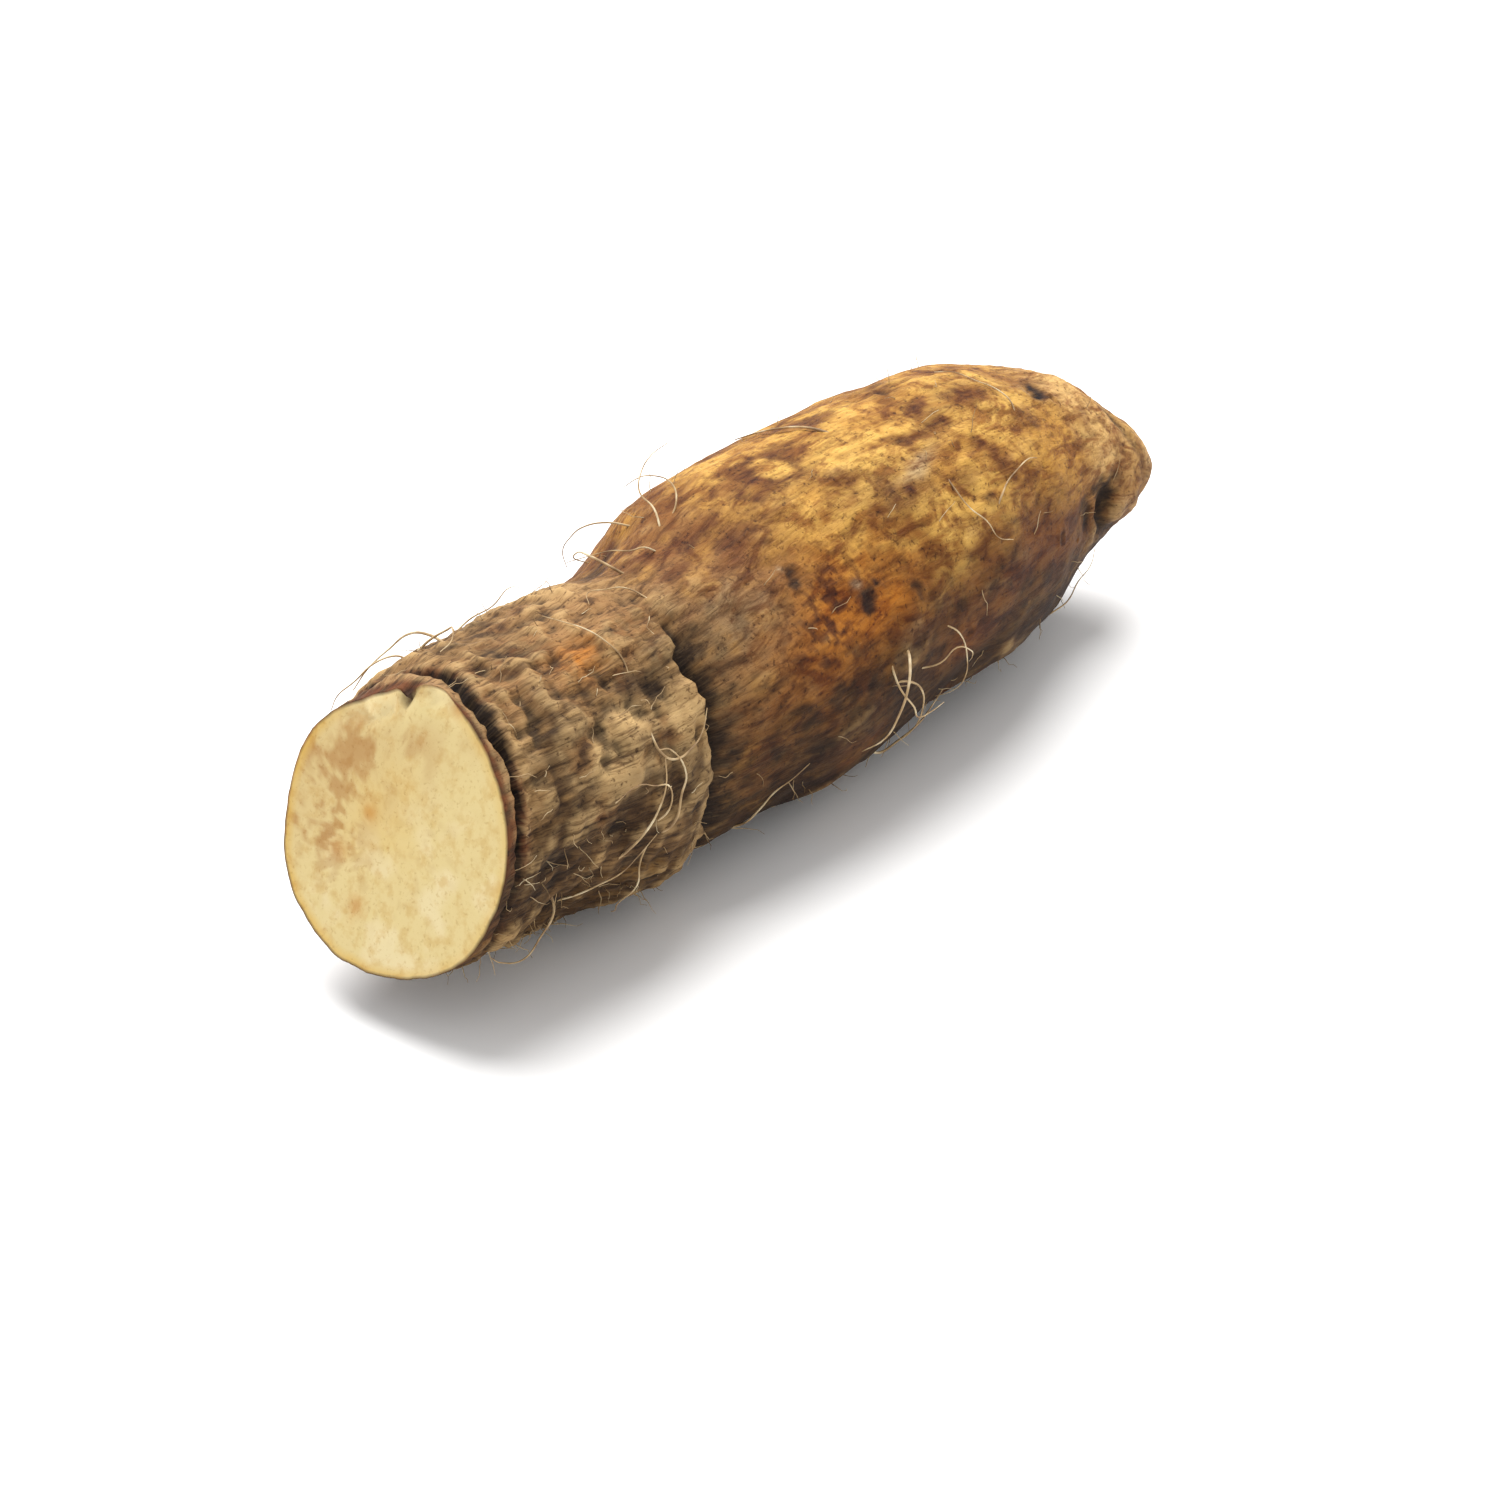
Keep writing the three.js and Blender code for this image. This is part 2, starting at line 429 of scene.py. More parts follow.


# Worn and stained patches, the pale gold and lobe ones partly a painted highlight, strewn
# over a stretch of skin: tone, how many, along from and to in mm, turn from and to in
# degrees, how strong
patches = [
    ("paleGold", 7, 145, 245, 0, 60, 0.9), ("gold", 9, 135, 245, -70, 75, 0.8),
    ("rust", 12, 115, 235, -60, 90, 0.75), ("brown", 9, 100, 285, -180, 180, 0.6),
    ("rustPale", 3, 110, 145, 55, 85, 0.8), ("lobe", 3, 262, 282, 10, 70, 0.7),
]
patchSeed = 8


def paintSkin():
    colour = {name: np.array(fromHex(code)[:3]) for name, code in tones.items()}
    tone = np.broadcast_to(colour["base"], along.shape + (3,)).copy()

    def lay(name, amount):
        nonlocal tone
        amount = np.clip(amount, 0, 1)[..., None]
        tone = tone * (1 - amount) + colour[name] * amount

    broad = noiseGrid(34, 20, 5, 3)
    blotch = noiseGrid(13, 8, 6, 4)
    small = noiseGrid(5, 3, 7, 3)
    fleck = noiseGrid(2.6, 1.6, 8, 2)

    lay("gold", 0.6 * rise(-0.1, 0.5, blotch + 0.5 * broad))
    lay("brown", 0.7 * rise(0.0, 0.5, -blotch + 0.5 * small))

    # Gold over the belly's top band; the pale gold laid on it is partly a painted highlight
    topBand = fade(awayFrom(16), 68)
    goldZone = rise(108, 150, along) * topBand
    lay("gold", goldZone * (0.85 + 0.4 * blotch))
    paler = small * 0.6 + blotch + 0.3 * fade(awayFrom(34), 22)
    lay("paleGold", goldZone * rise(-0.15, 0.4, paler) * 0.9)
    lay("brown", goldZone * rise(0.1, 0.5, -0.7 * small - 0.6 * blotch) * 0.8)
    lay("rust", goldZone * rise(0.2, 0.55, broad - 0.6 * blotch) * 0.55)

    x, y = gapTo(130, 65)
    rustZone = fade(x, 25) * fade(y, 20)
    lay("rustPale", rustZone * 0.9)
    lay("rust", rustZone * rise(-0.1, 0.16, blotch * 0.6 + small * 1.3) * 1.2)

    x, y = gapTo(95, 40)
    lay("grey", fade(x, 19) * fade(y, 17) * (0.9 + 0.5 * small))

    neckZone = rise(98, 70, along + (12 * broad + 7 * small) * rise(50, 110, awayFrom(60)))
    lay("neck", neckZone * 0.9)
    lay("neckDark", neckZone * rise(-0.1, 0.4, blotch * 0.8 + small * 0.5 - broad * 0.3) * 0.9)
    lay("neckPale", neckZone * rise(0.02, 0.4, broad * 0.8 + 0.5 * small) * 0.7)
    lay("brown", neckZone * fade(awayFrom(12), 30) * rise(-0.2, 0.3, small + broad) * 0.6)
    # Pale patches on the neck's bulge and knob, partly a painted highlight
    for place, centreTurn, long, wide in ((35, 60, 8, 7), (50, 50, 9, 4), (65, 60, 5, 12), (25, 60, 3, 5)):
        x, y = gapTo(place, centreTurn)
        lay("neckPale", fade(x, long) * fade(y, wide) * (0.95 + 0.6 * small))
    # Dark patches on the neck: those at turn 65 to 85, on its lower front, are painted shade; those at
    # turn 40 are dark mottling
    for place, centreTurn, long, wide in (
            (20, 85, 9, 14), (45, 85, 12, 9), (25, 40, 6, 9), (60, 40, 6, 5), (60, 85, 9, 9),
            (20, 65, 6, 12)):
        x, y = gapTo(place, centreTurn)
        lay("neckDark", fade(x + 6 * blotch, long) * fade(y + 5 * broad, wide) * (0.8 + 0.9 * small))
    x, y = gapTo(45, 20)
    lay("rustPale", fade(x, 9) * fade(y, 6) * (0.6 + 0.6 * small))
    collarZone = rise(10.5, 7.5, along - 4.6 * fade(awayFrom(-4), 24))
    lay("bark", collarZone * 0.9)
    lay("neckDark", collarZone * rise(-0.1, 0.35, small + fleck * 0.5) * 0.8)

    # Pale tan on the tip's lobe, partly a painted highlight
    lobeZone = rise(246, 262, along)
    lay("lobe", lobeZone * 0.85 * fade(awayFrom(40), 60))
    lay("brown", lobeZone * rise(0.05, 0.5, blotch + 0.5 * small) * 0.6)

    # Painted shade: darker brown over the lower front side behind the crease
    lay("brown", 0.6 * rise(69, 29, awayFrom(121)) * rise(76, 100, along))
    # Painted shade: the underside is darkened towards near black, most at the bottom
    lay("paintedUnderShade", 0.8 * rise(80, 116, awayFrom(10)) * rise(70, 100, along))
    lay("paintedUnderShade", 0.6 * rise(98, 130, awayFrom(5)))
    x, y = gapTo(210, 80)
    lay("rust", fade(x, 36) * fade(y, 13) * (0.9 + 0.5 * blotch))
    x, y = gapTo(235, 50)
    lay("gold", fade(x, 20) * fade(y, 14) * (0.95 + 0.6 * small))
    lay("gold", 0.35 * rise(58, 26, awayFrom(140)) * rise(0.1, 0.5, blotch + small * 0.6))
    # Dark soil blotches with painted shade on the lower side
    lay("soilAndShade", 0.5 * rise(0.2, 0.62, small + 0.4 * blotch) * rise(85, 15, awayFrom(115)))
    # Painted shade: dark brown along the lower flank, fading out towards the tip
    flankShadeMask = rise(72, 34, awayFrom(127))
    lay("paintedFlankShade", flankShadeMask * (0.72 + 0.5 * broad + 0.4 * small) * rise(250, 225, along))
    # More painted shade under the belly
    lay("paintedUnderShade", 0.55 * rise(60, 24, awayFrom(134)) * rise(80, 110, along))

    rng = np.random.default_rng(patchSeed)
    for name, count, lowest, highest, leastTurn, mostTurn, strength in patches:
        for _ in range(count):
            x, y = gapTo(rng.uniform(lowest, highest), rng.uniform(leastTurn, mostTurn))
            long = rng.uniform(6, 12)
            amount = fade(x, long) * fade(y, long * rng.uniform(0.5, 0.75))
            lay(name, strength * amount * (0.85 + 0.9 * small))

    hollow = smoothGrid(reach, 5, 5) - reach  # how far the skin lies below its surroundings: darker there, paler where it stands above
    lay("soilAndShade", rise(0.15, 1.1, hollow / mm) * 0.8)
    lay("neckPale", rise(0.2, 0.9, -hollow / mm) * 0.4)
    # Soil and painted shade in the crack behind the collar
    lay("soilAndShade", rise(0.05, 0.3, crack) * 0.98)
    # Soil in the crease, and painted shade on the skin for about 10 mm past it
    lay("soilAndShade", rise(0.12, 0.6, crease + 0.25 * small) * 0.9)
    lay("soilAndShade", nose * 0.55)
    # Painted shade in the hollow below the tip
    x, y = gapTo(265, 90)
    lay("soilAndShade", rise(0.15, 1.0, fade(x, 7.5) * fade(y, 11) + 0.35 * small) * 0.85)

    x, y = gapTo(145, 0)
    far = np.hypot(x / 1.2, y) + small * 2.0
    lay("paleGold", fade(far, 4.5) * 0.9)
    lay("rust", fade(far - 6.5, 1.6) * 0.7)
    x, y = gapTo(180, 30)
    lay("scar", fade(x, 9) * fade(y + 0.25 * x, 2.2) * 0.6)
    for place, centreTurn, radius, dark in wounds:  # a bit of dry skin beside each
        x, y = gapTo(place - radius, centreTurn - 5)
        lay("scar", 0.8 * fade(np.hypot(x, y) + small, 1.3))
    for place, centreTurn, radius, dark in spots:
        x, y = gapTo(place, centreTurn)
        far = np.hypot(x / 1.25, y) + small * 2.2 + fleck * 0.8
        lay("brown", fade(far, radius * 2.2) * 0.55)
        lay("wound", rise(radius * 1.5, radius * 0.5, far) * dark)
    return tone


skinTone = paintSkin()
print("skin painted")


# The cut face: a disc of rings from the rim to its middle, in the plane of the knife

flesh = {
    "chipDepth": 2.2, "waveHeight": 0.2, "rindWidth": 1.0,
    "colour": "#d2be86", "pale": "#dccca0", "tan": "#ab8049", "yellow": "#cda752",
    "rind": "#4a3220", "spot": "#b87a2c", "fresh": "#ecd9a4",
}


def cutFace():
    rim = skin[0]
    centre = rim.mean(0)
    shares = 1 - (np.arange(1, body["faceRings"]) / body["faceRings"]) ** 0.8
    first = 1 - flesh["rindWidth"] * mm / np.linalg.norm(rim - centre, axis=1).mean()
    shares = np.concatenate([[first], shares * first])
    places = centre + (rim - centre) * shares[:, None, None]
    places = np.concatenate([places, centre[None, None].repeat(len(turns), 1)])
    shares = np.concatenate([shares, [0]])

    share, faceTurn = np.meshgrid(shares, turns, indexing="ij")
    fromTop = np.radians(faceTurn)
    across = share * np.sin(fromTop)  # to the front of the tuber, in radii
    upward = share * np.cos(fromTop)
    flat = np.stack([across, upward, across * 0], -1).reshape(-1, 3)

    def grain(scale, seed, octaves=3):
        shifted = (flat * scale + (seed, -seed, seed)).tolist()
        return np.array([noise.fractal(p, 1.0, 2.0, octaves) for p in shifted]).reshape(share.shape)

    ragged = grain(7, 3, 2)
    chips = fade(turnFrom(faceTurn, -22), 17) * rise(0.80, 0.92, share + 0.08 * ragged)
    broken = 0.9 * fade(turnFrom(faceTurn, 10), 9) * rise(0.86, 0.95, share + 0.05 * ragged)
    chips = np.maximum(chips, broken)
    notch = fade(turnFrom(faceTurn, -3.5), 3.0) * rise(0.90, 0.97, share)
    sink = flesh["chipDepth"] * chips * (0.7 + 0.8 * ragged) + flesh["waveHeight"] * grain(3, 9, 2)
    sink += 0.10 * grain(22, 4, 2) + 2.0 * notch
    sink[-1] = sink[-1].mean()
    places = places - cutNormal * (sink * mm)[..., None]

    colour = {name: np.array(fromHex(flesh[name])[:3]) for name in
              ("colour", "pale", "tan", "yellow", "rind", "spot", "fresh")}
    tone = np.broadcast_to(colour["colour"], share.shape + (3,)).copy()

    def lay(name, amount):
        nonlocal tone
        amount = np.clip(amount, 0, 1)[..., None]
        tone = tone * (1 - amount) + colour[name] * amount

    cloud = grain(3.2, 5)
    speck = grain(11, 6)
    lay("pale", 0.7 * rise(-0.1, 0.4, cloud) * rise(0.5, -0.5, upward - across * 0.6))
    chunk = fade(turnFrom(faceTurn, 9), 20) * rise(0.6, 0.85, share)
    stainZone = rise(-0.1, 0.8, upward * 0.8 - across * 0.75) * (1 - chunk)
    lay("tan", stainZone * (0.25 + 0.6 * rise(-0.2, 0.4, cloud + 0.7 * speck)))
    lay("tan", 0.8 * fade(upward + 0.1, 0.34) * fade(across + 0.5, 0.28) * rise(-0.2, 0.3, speck + cloud))
    lay("tan", 0.22 * rise(0.15, 0.5, speck) * rise(0.95, 0.3, share))
    lay("spot", 0.8 * fade(np.hypot(across + 0.2, upward - 0.13), 0.065))
    lay("spot", 0.45 * fade(np.hypot(across + 0.16, upward + 0.58) + 0.05 * speck, 0.08))
    lay("spot", 0.4 * fade(np.hypot(across + 0.42, upward + 0.22) + 0.05 * speck, 0.08))
    lay("yellow", 0.35 * fade(np.hypot(across + 0.1, upward - 0.1) + 0.2 * cloud, 0.3))
    side = 0.45 + 0.4 * rise(0.3, -0.6, across + 0.5 * upward)
    lay("yellow", side * rise(0.90, 0.985, share + 0.02 * speck + 0.02 * cloud))
    lay("fresh", chips * 0.9)
    lay("rind", notch * 0.9)
    lay("spot", 0.6 * fade(turnFrom(faceTurn, 19), 3.5) * rise(0.9, 0.97, share))
    return places, tone


facePlaces, faceTone = cutFace()
print("cut face made")


def joinBody():
    ringCount, turnCount = skin.shape[:2]
    faceCount = facePlaces.shape[0] - 1  # its last ring is the middle point
    tip = skin[-1].mean(0)
    places = np.concatenate([
        skin.reshape(-1, 3), tip[None],
        facePlaces[:-1].reshape(-1, 3), facePlaces[-1, :1],
    ])
    places[:, 2] = np.maximum(places[:, 2], 0)  # nothing sinks into the table
    tipPoint = ringCount * turnCount
    faceStart = tipPoint + 1
    facePoint = faceStart + faceCount * turnCount

    j = np.arange(turnCount)
    following = (j + 1) % turnCount

    def strip(first, second):  # quads between two rings
        return np.stack([first + j, first + following, second + following, second + j], -1)

    skinQuads = [strip(i * turnCount, (i + 1) * turnCount) for i in range(ringCount - 1)]
    fleshQuads = [strip(faceStart, 0)]
    fleshQuads += [strip(faceStart + (i + 1) * turnCount, faceStart + i * turnCount)
                   for i in range(faceCount - 1)]
    lastRing = (ringCount - 1) * turnCount
    lastFace = faceStart + (faceCount - 1) * turnCount
    tipFan = np.stack([lastRing + j, lastRing + following, j * 0 + tipPoint], -1)
    faceFan = np.stack([lastFace + following, lastFace + j, j * 0 + facePoint], -1)
    polygons = np.concatenate(skinQuads).tolist() + tipFan.tolist()
    skinCount = len(polygons)
    polygons += np.concatenate(fleshQuads).tolist() + faceFan.tolist()

    mesh = bpy.data.meshes.new("yamBody")
    mesh.from_pydata(places.tolist(), [], polygons)
    isFlesh = np.zeros(len(polygons), dtype=np.int32)
    isFlesh[skinCount:] = 1
    mesh.polygons.foreach_set("material_index", isFlesh)
    mesh.polygons.foreach_set("use_smooth", np.ones(len(polygons), dtype=bool))

    faceRows = facePlaces.shape[0] - 1
    tone = np.concatenate([
        skinTone.reshape(-1, 3), skinTone[-1].mean(0)[None],
        faceTone[:-1].reshape(-1, 3), faceTone[-1, :1],
    ])
    tone = np.concatenate([tone, np.ones((len(tone), 1))], 1)
    mesh.attributes.new("tone", "FLOAT_COLOR", "POINT").data.foreach_set("color", tone.ravel())

    wide = plainRadius * mm * girth
    onSkin = np.stack([along * mm, wide * np.cos(t), wide * np.sin(t)], -1).reshape(-1, 3)
    onSkin = np.concatenate([onSkin, onSkin[-turnCount:].mean(0)[None],
                             facePlaces[:-1].reshape(-1, 3), facePlaces[-1, :1]])
    mesh.attributes.new("skinPlace", "FLOAT_VECTOR", "POINT").data.foreach_set("vector", onSkin.ravel())

    bark = rise(0.3, 2.5, along) * (0.4 + 0.6 * rise(112, 62, along))
    bark = np.concatenate([bark.ravel(), [0.3], np.zeros(faceRows * turnCount + 1)])
    bark *= rise(0.3 * mm, 2.5 * mm, places[:, 2])
    mesh.attributes.new("bark", "FLOAT", "POINT").data.foreach_set("value", bark)

    mottle = np.concatenate([rise(60, 100, along).ravel(), [1], np.zeros(faceRows * turnCount + 1)])
    mesh.attributes.new("mottle", "FLOAT", "POINT").data.foreach_set("value", mottle)

    hairy = 0.10 + 0.9 * fade(turnFrom(turn, 100), 45) * rise(90, 60, along)
    hairy = hairy + 0.25 * rise(75, 95, abs(turnFrom(turn, 0))) + 0.3 * rise(95, 70, along)
    hairy = hairy * rise(2, 6, along) * rise(283, 262, along)
    hairy = np.concatenate([hairy.ravel(), [0], np.zeros(faceRows * turnCount + 1)])
    hairy *= rise(1.5 * mm, 6 * mm, places[:, 2])
    mesh.attributes.new("hairy", "FLOAT", "POINT").data.foreach_set("value", hairy)
    mesh.update()
    piece = bpy.data.objects.new("yamBody", mesh)
    bpy.context.scene.collection.objects.link(piece)
    return piece


yamBody = joinBody()
print("body joined:", len(yamBody.data.polygons), "faces")


# Materials

def newMaterial(name):
    material = bpy.data.materials.new(name)
    material.use_nodes = True
    tree = material.node_tree
    tree.nodes.clear()
    output = addNode(tree, "ShaderNodeOutputMaterial")
    return material, tree, output


def driedTuberSkin():
    # Corky tuber skin dried in the air: dull, blotched where it rubbed, with fibres running
    # lengthwise on the neck and soil in its pores. Fibres are about 1 mm wide and 7 mm long,
    # drawn a little coarse so that they show; blotches are 4 to 12 mm across.
    material, tree, output = newMaterial("driedTuberSkin")
    place = addNode(tree, "ShaderNodeAttribute", {"attribute_name": "skinPlace"}).outputs["Vector"]
    tone = addNode(tree, "ShaderNodeAttribute", {"attribute_name": "tone"}).outputs["Color"]
    bark = addNode(tree, "ShaderNodeAttribute", {"attribute_name": "bark"}).outputs["Fac"]
    mottle = addNode(tree, "ShaderNodeAttribute", {"attribute_name": "mottle"}).outputs["Fac"]

    def pattern(long, wide, detail, distortion, shift):
        squeezed = addNode(tree, "ShaderNodeMapping", inputs={
            "Vector": place, "Scale": (1 / long, 1 / wide, 1 / wide),
            "Location": (shift, shift * 1.7, shift * 0.6)}).outputs[0]
        return addNode(tree, "ShaderNodeTexNoise", inputs={
            "Vector": squeezed, "Scale": 1.0, "Detail": detail, "Roughness": 0.62,
            "Distortion": distortion}).outputs["Fac"]

    def amount(value, low, high, most, mask=None):
        share = addNode(tree, "ShaderNodeMapRange", inputs={
            "Value": value, "From Min": low, "From Max": high, "To Min": 0.0, "To Max": most}).outputs[0]
        if mask is None:
            return share
        return addNode(tree, "ShaderNodeMath", {"operation": "MULTIPLY"}, {0: share, 1: mask}).outputs[0]

    def layer(below, share, code, blend="MULTIPLY"):
        return addNode(tree, "ShaderNodeMix", {"data_type": "RGBA", "blend_type": blend}, {
            0: share, 6: below, 7: fromHex(code)}).outputs[2]

    fibre = pattern(0.007, 0.0011, 5.0, 1.0, 0.0)
    strand = pattern(0.016, 0.0030, 6.0, 1.4, 3.1)
    blotch = pattern(0.0130, 0.0055, 8.0, 0.9, 5.3)
    freckle = pattern(0.0042, 0.0020, 6.0, 0.5, 8.9)
    grain = pattern(0.0014, 0.0014, 3.0, 0.0, 1.3)

    colour = layer(tone, amount(blotch, 0.53, 0.38, 0.75, mottle), "#94632f")
    colour = layer(colour, amount(freckle, 0.48, 0.34, 0.55, mottle), "#8f623a")
    colour = layer(colour, amount(blotch, 0.54, 0.70, 0.4, mottle), "#5c4420", "SCREEN")
    colour = layer(colour, amount(strand, 0.50, 0.36, 0.7, bark), "#6f5a48")
    colour = layer(colour, amount(strand, 0.53, 0.66, 0.6, bark), "#4d3f2c", "SCREEN")
    colour = layer(colour, amount(fibre, 0.48, 0.34, 0.6, bark), "#76604d")
    colour = layer(colour, amount(fibre, 0.54, 0.70, 0.5, bark), "#54462f", "SCREEN")
    colour = layer(colour, amount(grain, 0.42, 0.30, 0.75), "#6b5240")

    ridges = addNode(tree, "ShaderNodeBump", inputs={
        "Height": fibre, "Strength": 0.5, "Distance": 0.6 * mm})
    coarse = addNode(tree, "ShaderNodeBump", inputs={
        "Height": strand, "Strength": 0.4, "Distance": 1.2 * mm, "Normal": ridges.outputs[0]})
    knobs = addNode(tree, "ShaderNodeBump", inputs={
        "Height": freckle, "Strength": 0.35, "Distance": 0.9 * mm, "Normal": coarse.outputs[0]})
    pores = addNode(tree, "ShaderNodeBump", inputs={
        "Height": grain, "Strength": 0.35, "Distance": 0.4 * mm, "Normal": knobs.outputs[0]})
    shader = addNode(tree, "ShaderNodeBsdfPrincipled", inputs={
        "Base Color": colour, "Roughness": 0.72, "IOR": 1.45, "Specular IOR Level": 0.2,
        "Normal": pores.outputs[0]})
    tree.links.new(shader.outputs[0], output.inputs["Surface"])
    return material


def freshCutFlesh():
    # Raw starchy flesh cut with a knife: cream, slightly moist, light carries a little way in.
    # Starch grain is about 0.5 mm; darker fibre dots are 1 to 2 mm apart.
    material, tree, output = newMaterial("freshCutFlesh")
    place = addNode(tree, "ShaderNodeTexCoord").outputs["Object"]
    tone = addNode(tree, "ShaderNodeAttribute", {"attribute_name": "tone"}).outputs["Color"]
    starch = addNode(tree, "ShaderNodeTexNoise", inputs={
        "Vector": place, "Scale": 1 / 0.0011, "Detail": 3.0, "Roughness": 0.6}).outputs["Fac"]
    stain = addNode(tree, "ShaderNodeTexNoise", inputs={
        "Vector": place, "Scale": 1 / 0.0045, "Detail": 4.0, "Roughness": 0.62}).outputs["Fac"]
    dots = addNode(tree, "ShaderNodeMapRange", inputs={
        "Value": starch, "From Min": 0.42, "From Max": 0.30, "To Min": 0.0, "To Max": 0.35})
    clouds = addNode(tree, "ShaderNodeMapRange", inputs={
        "Value": stain, "From Min": 0.50, "From Max": 0.66, "To Min": 0.0, "To Max": 0.45})
    stained = addNode(tree, "ShaderNodeMix", {"data_type": "RGBA", "blend_type": "MULTIPLY"}, {
        0: clouds.outputs[0], 6: tone, 7: fromHex("#e6c99a")}).outputs[2]
    colour = addNode(tree, "ShaderNodeMix", {"data_type": "RGBA", "blend_type": "MULTIPLY"}, {
        0: dots.outputs[0], 6: stained, 7: fromHex("#c9a878")}).outputs[2]
    bump = addNode(tree, "ShaderNodeBump", inputs={
        "Height": starch, "Strength": 0.25, "Distance": 0.3 * mm})
    shader = addNode(tree, "ShaderNodeBsdfPrincipled", inputs={
        "Base Color": colour, "Roughness": 0.55, "IOR": 1.4, "Specular IOR Level": 0.35,
        "Subsurface Weight": 0.06, "Subsurface Radius": (0.8, 0.7, 0.35),
        "Subsurface Scale": 1 * mm, "Normal": bump.outputs[0]})
    tree.links.new(shader.outputs[0], output.inputs["Surface"])
    return material


def dryRootFibre():
    # Dead feeder roots: wiry, straw to brown, each a little different along its length.
    material, tree, output = newMaterial("dryRootFibre")
    place = addNode(tree, "ShaderNodeTexCoord").outputs["Object"]
    patch = addNode(tree, "ShaderNodeTexNoise", inputs={
        "Vector": place, "Scale": 1 / 0.006, "Detail": 2.0}).outputs["Fac"]
    colour = addNode(tree, "ShaderNodeValToRGB", {"stops": [
        (0.30, "#7d6245"), (0.50, "#b3966d"), (0.68, "#dac8a4")]}, {"Fac": patch}).outputs["Color"]
    shader = addNode(tree, "ShaderNodeBsdfPrincipled", inputs={
        "Base Color": colour, "Roughness": 0.7, "IOR": 1.5, "Specular IOR Level": 0.3})
    tree.links.new(shader.outputs[0], output.inputs["Surface"])
    return material


skinMaterial = driedTuberSkin()
fleshMaterial = freshCutFlesh()
rootMaterial = dryRootFibre()
yamBody.data.materials.append(skinMaterial)
yamBody.data.materials.append(fleshMaterial)
print("materials made")


# Geometry Nodes

def newTree(name, sizes):
    # a tree with a geometry in and out and named sizes; returns it with its two ends
    tree = bpy.data.node_groups.new(name, "GeometryNodeTree")
    tree.interface.new_socket("Geometry", in_out="INPUT", socket_type="NodeSocketGeometry")
    for label, value in sizes.items():
        kind = "NodeSocketInt" if isinstance(value, int) else "NodeSocketFloat"
        tree.interface.new_socket(label, in_out="INPUT", socket_type=kind)
    tree.interface.new_socket("Geometry", in_out="OUTPUT", socket_type="NodeSocketGeometry")
    return tree, addNode(tree, "NodeGroupInput"), addNode(tree, "NodeGroupOutput")


def applyTree(piece, tree, sizes, name):
    modifier = piece.modifiers.new(tree.name, "NODES")
    modifier.node_group = tree
    for item in tree.interface.items_tree:
        if item.in_out == "INPUT" and item.name in sizes:
            modifier[item.identifier] = sizes[item.name]
    shown = piece.evaluated_get(bpy.context.evaluated_depsgraph_get())
    mesh = bpy.data.meshes.new_from_object(shown)
    mesh.name = name
    piece.modifiers.remove(modifier)
    return mesh


fullSwing = 3.0  # stretches noise to about half a unit each way

fibreSizes = {"Fibre length": 12 * mm, "Fibre width": 2.2 * mm, "Ridge height": 0.65 * mm, "Seed": 4}


def fibrousSkin():
    tree, start, end = newTree("fibrousSkin", fibreSizes)
    place = addNode(tree, "GeometryNodeInputNamedAttribute", {"data_type": "FLOAT_VECTOR"}, {
        "Name": "skinPlace"}).outputs["Attribute"]
    bark = addNode(tree, "GeometryNodeInputNamedAttribute", {"data_type": "FLOAT"}, {
        "Name": "bark"}).outputs["Attribute"]
    parts = addNode(tree, "ShaderNodeSeparateXYZ", inputs={0: place}).outputs
    lengthwise = addNode(tree, "ShaderNodeMath", {"operation": "DIVIDE"}, {
        0: parts[0], 1: start.outputs["Fibre length"]}).outputs[0]
    upward = addNode(tree, "ShaderNodeMath", {"operation": "DIVIDE"}, {
        0: parts[1], 1: start.outputs["Fibre width"]}).outputs[0]
    sideways = addNode(tree, "ShaderNodeMath", {"operation": "DIVIDE"}, {
        0: parts[2], 1: start.outputs["Fibre width"]}).outputs[0]
    squeezed = addNode(tree, "ShaderNodeCombineXYZ", inputs={
        0: lengthwise, 1: upward, 2: sideways}).outputs[0]
    ridges = addNode(tree, "ShaderNodeTexNoise", {"noise_dimensions": "4D"}, {
        "Vector": squeezed, "W": start.outputs["Seed"], "Scale": 1.0, "Detail": 3.0,
        "Roughness": 0.6, "Distortion": 0.5}).outputs[0]
    centred = addNode(tree, "ShaderNodeMath", {"operation": "SUBTRACT"}, {
        0: ridges, 1: 0.5}).outputs[0]
    tall = addNode(tree, "ShaderNodeMath", {"operation": "MULTIPLY"}, {
        0: centred, 1: start.outputs["Ridge height"]}).outputs[0]
    masked = addNode(tree, "ShaderNodeMath", {"operation": "MULTIPLY"}, {
        0: tall, 1: bark}).outputs[0]
    stretched = addNode(tree, "ShaderNodeMath", {"operation": "MULTIPLY"}, {
        0: masked, 1: fullSwing}).outputs[0]
    normal = addNode(tree, "GeometryNodeInputNormal").outputs[0]
    offset = addNode(tree, "ShaderNodeVectorMath", {"operation": "SCALE"}, {
        0: normal, "Scale": stretched}).outputs[0]
    moved = addNode(tree, "GeometryNodeSetPosition", inputs={
        "Geometry": start.outputs["Geometry"], "Offset": offset}).outputs[0]
    real = addNode(tree, "GeometryNodeRealizeInstances", inputs={0: moved}).outputs[0]
    tree.links.new(real, end.inputs[0])
    return tree


yamBody.data = applyTree(yamBody, fibrousSkin(), fibreSizes, "yamBody")
print("skin fibres raised")


# Rootlets: long ones grown in chosen places, and a scatter of short fibres

